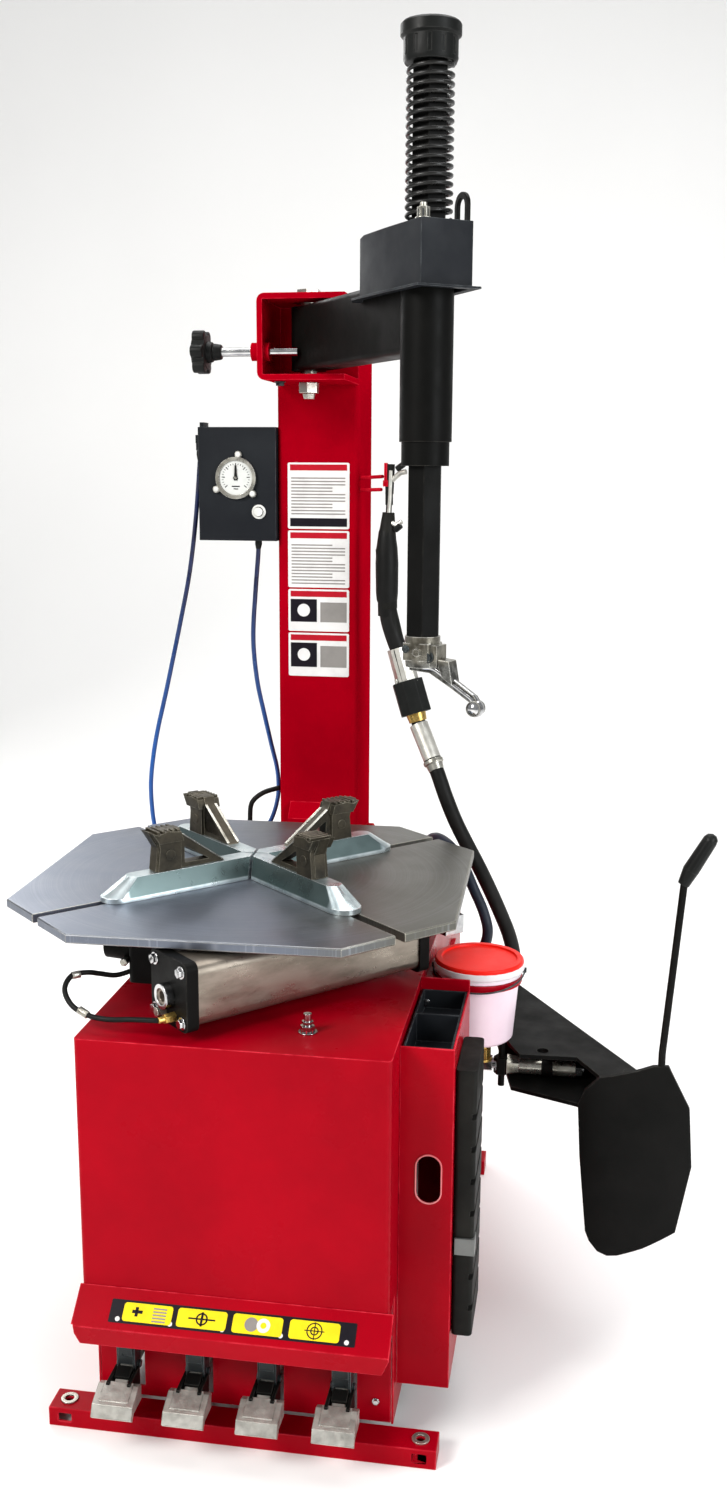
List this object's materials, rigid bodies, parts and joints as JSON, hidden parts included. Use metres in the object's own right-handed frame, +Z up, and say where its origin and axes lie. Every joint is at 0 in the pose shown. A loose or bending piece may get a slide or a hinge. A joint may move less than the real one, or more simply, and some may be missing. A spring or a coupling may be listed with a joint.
{
  "type": "swing-arm tire changer",
  "caption": "Swing-arm tire changer with a jaw turntable, sprung hexagonal tool shaft, side bead breaker, pressure gauge box and foot pedals.",
  "frame": {"origin": "on the floor under the middle of the whole machine", "axes": "+X to the machine's right as its user faces it, +Y from the pedals to the column, +Z up"},
  "size_m": [0.9808, 0.961, 1.852],
  "materials": {
    "red": "gloss powder coat",
    "black_paint": "semi-gloss powder coat",
    "grey_paint": "satin powder coat",
    "machined_steel": "faced in a lathe",
    "zinc_steel": "zinc plated",
    "cast_steel": "dark cast",
    "cast_aluminium": "as cast",
    "barrel_alloy": "drawn tube",
    "chrome": "polished",
    "rubber": "matt moulded",
    "black_plastic": "moulded",
    "white_plastic": "moulded",
    "red_plastic": "moulded",
    "dial_face": "printed dial under a clear window",
    "blue_plastic": "extruded tube"
  },
  "bodies": {
    "frame": {"cabinet_body": "red", "pedal_plate": "red", "front_hood": "red", "foot_bar_front": "red", "foot_bar_rear": "red", "side_box": "red", "tool_tray": "grey_paint", "rest_pad": "rubber", "column": "red", "column_head": "red", "pivot_bolt": "zinc_steel", "gauge_box": "grey_paint", "gauge_dial": "dial_face", "hinge_bracket": "red", "bead_cylinder": "barrel_alloy", "drive_motor": "grey_paint", "gearbox": "cast_aluminium", "pail": "white_plastic", "pail_lid": "red_plastic", "pail_ring": "red", "blast_gun": "rubber", "gauge_hose_left": "blue_plastic", "gauge_hose_right": "blue_plastic", "supply_hose": "blue_plastic", "blast_hose": "rubber"},
    "turntable": {"turntable_plate": "machined_steel", "turntable_spindle": "machined_steel", "cylinder_barrel_1": "barrel_alloy", "cylinder_barrel_2": "barrel_alloy"},
    "jaw_set_1": {"jaw_slide_1": "zinc_steel", "jaw_1": "cast_steel"},
    "jaw_set_2": {"jaw_slide_2": "zinc_steel", "jaw_2": "cast_steel"},
    "jaw_set_3": {"jaw_slide_3": "zinc_steel", "jaw_3": "cast_steel"},
    "jaw_set_4": {"jaw_slide_4": "zinc_steel", "jaw_4": "cast_steel"},
    "link": {"link_plate": "black_paint"},
    "rod_1": {"cylinder_rod_1": "chrome"},
    "rod_2": {"cylinder_rod_2": "chrome"},
    "arm": {"swing_arm": "black_paint", "lock_cover": "grey_paint", "lift_spring": "black_paint"},
    "tool_shaft": {"hex_shaft": "black_paint", "top_cap": "black_plastic", "mount_head": "zinc_steel"},
    "clamp_lever": {"lock_handle": "black_paint"},
    "stop_screw": {"limit_screw": "chrome", "limit_knob": "black_plastic"},
    "pedal_1_lever": {"pedal_1": "cast_aluminium"},
    "pedal_2_lever": {"pedal_2": "cast_aluminium"},
    "pedal_3_lever": {"pedal_3": "cast_aluminium"},
    "pedal_4_lever": {"pedal_4": "cast_aluminium"},
    "breaker_arm": {"bead_arm": "black_paint"},
    "breaker_blade": {"bead_blade": "black_paint", "bead_handle": "black_paint", "handle_grip": "black_plastic"},
    "breaker_rod": {"bead_rod": "chrome"},
    "button": {"release_button": "white_plastic"},
    "needle": {"gauge_needle": "black_plastic"}
  },
  "joints": [
    {"name": "turntable_spin", "type": "hinge", "parent": "frame", "child": "turntable", "pos_m": [-0.17, -0.0645, 0.69], "axis": [0, 0, 1], "continuous": true},
    {"name": "jaw_1_travel", "type": "slide", "parent": "turntable", "child": "jaw_set_1", "axis": [0.6928, 0.7211, 0], "range_m": [0, 0.1]},
    {"name": "jaw_2_travel", "type": "slide", "parent": "turntable", "child": "jaw_set_2", "axis": [-0.7211, 0.6928, 0], "range_m": [0, 0.1]},
    {"name": "jaw_3_travel", "type": "slide", "parent": "turntable", "child": "jaw_set_3", "axis": [-0.6928, -0.7211, 0], "range_m": [0, 0.1]},
    {"name": "jaw_4_travel", "type": "slide", "parent": "turntable", "child": "jaw_set_4", "axis": [0.7211, -0.6928, 0], "range_m": [0, 0.1]},
    {"name": "link_turn", "type": "hinge", "parent": "turntable", "child": "link", "pos_m": [-0.17, -0.0645, 0.668], "axis": [0, 0, 1], "range_deg": [0, 40.2]},
    {"name": "rod_1_stroke", "type": "slide", "parent": "turntable", "child": "rod_1", "axis": [0.6928, 0.7211, 0], "range_m": [-0.036, 0]},
    {"name": "rod_2_stroke", "type": "slide", "parent": "turntable", "child": "rod_2", "axis": [-0.6928, -0.7211, 0], "range_m": [-0.036, 0]},
    {"name": "arm_swing", "type": "hinge", "parent": "frame", "child": "arm", "pos_m": [-0.151, 0.2575, 1.492], "axis": [0, 0, 1], "range_deg": [0, 70]},
    {"name": "shaft_lift", "type": "slide", "parent": "arm", "child": "tool_shaft", "axis": [0, 0, 1], "range_m": [-0.08, 0], "stiffness_N_per_m": 1200, "springref_m": 0.14, "deforming": ["lift_spring"]},
    {"name": "clamp_lever_turn", "type": "hinge", "parent": "arm", "child": "clamp_lever", "pos_m": [0.1233, -0.06764, 1.58], "axis": [0.8283, 0.5603, 0], "range_deg": [0, 50]},
    {"name": "stop_screw_travel", "type": "slide", "parent": "frame", "child": "stop_screw", "axis": [-1, 0, 0], "range_m": [0, 0.04]},
    {"name": "pedal_1_press", "type": "hinge", "parent": "frame", "child": "pedal_1_lever", "pos_m": [-0.271, -0.3265, 0.09], "axis": [1, 0, 0], "range_deg": [0, 8], "stiffness_Nm_per_rad": 20, "springref_deg": -5.73},
    {"name": "pedal_2_press", "type": "hinge", "parent": "frame", "child": "pedal_2_lever", "pos_m": [-0.174, -0.3265, 0.09], "axis": [1, 0, 0], "range_deg": [0, 8], "stiffness_Nm_per_rad": 20, "springref_deg": -5.73},
    {"name": "pedal_3_press", "type": "hinge", "parent": "frame", "child": "pedal_3_lever", "pos_m": [-0.075, -0.3265, 0.09], "axis": [1, 0, 0], "range_deg": [0, 8], "stiffness_Nm_per_rad": 20, "springref_deg": -5.73},
    {"name": "pedal_4_press", "type": "hinge", "parent": "frame", "child": "pedal_4_lever", "pos_m": [0.026, -0.3265, 0.09], "axis": [1, 0, 0], "range_deg": [0, 8], "stiffness_Nm_per_rad": 20, "springref_deg": -5.73},
    {"name": "breaker_arm_swing", "type": "hinge", "parent": "frame", "child": "breaker_arm", "pos_m": [0.13, 0.2855, 0.42], "axis": [0, 0, 1], "range_deg": [-10, 0]},
    {"name": "blade_swivel", "type": "hinge", "parent": "breaker_arm", "child": "breaker_blade", "pos_m": [0.39, -0.1605, 0.422], "axis": [0, 0, 1], "range_deg": [-10, 10]},
    {"name": "breaker_rod_stroke", "type": "slide", "parent": "frame", "child": "breaker_rod", "axis": [1, 0, 0], "range_m": [-0.0595, 0]},
    {"name": "button_press", "type": "slide", "parent": "frame", "child": "button", "axis": [0, 1, 0], "range_m": [0, 0.003], "stiffness_N_per_m": 400, "springref_m": -0.002},
    {"name": "needle_turn", "type": "hinge", "parent": "frame", "child": "needle", "pos_m": [-0.29, 0.3155, 1.274], "axis": [0, 1, 0], "range_deg": [-130, 130]}
  ],
  "couplings": [
    {"joint": "jaw_2_travel", "follows": "jaw_1_travel", "ratio": 1},
    {"joint": "jaw_3_travel", "follows": "jaw_1_travel", "ratio": 1},
    {"joint": "jaw_4_travel", "follows": "jaw_1_travel", "ratio": 1},
    {"joint": "link_turn", "follows": "jaw_1_travel", "rad_per_m": 7},
    {"joint": "rod_1_stroke", "follows": "jaw_1_travel", "ratio": -0.36},
    {"joint": "rod_2_stroke", "follows": "jaw_1_travel", "ratio": -0.36},
    {"joint": "breaker_rod_stroke", "follows": "breaker_arm_swing", "m_per_rad": 0.34}
  ]
}
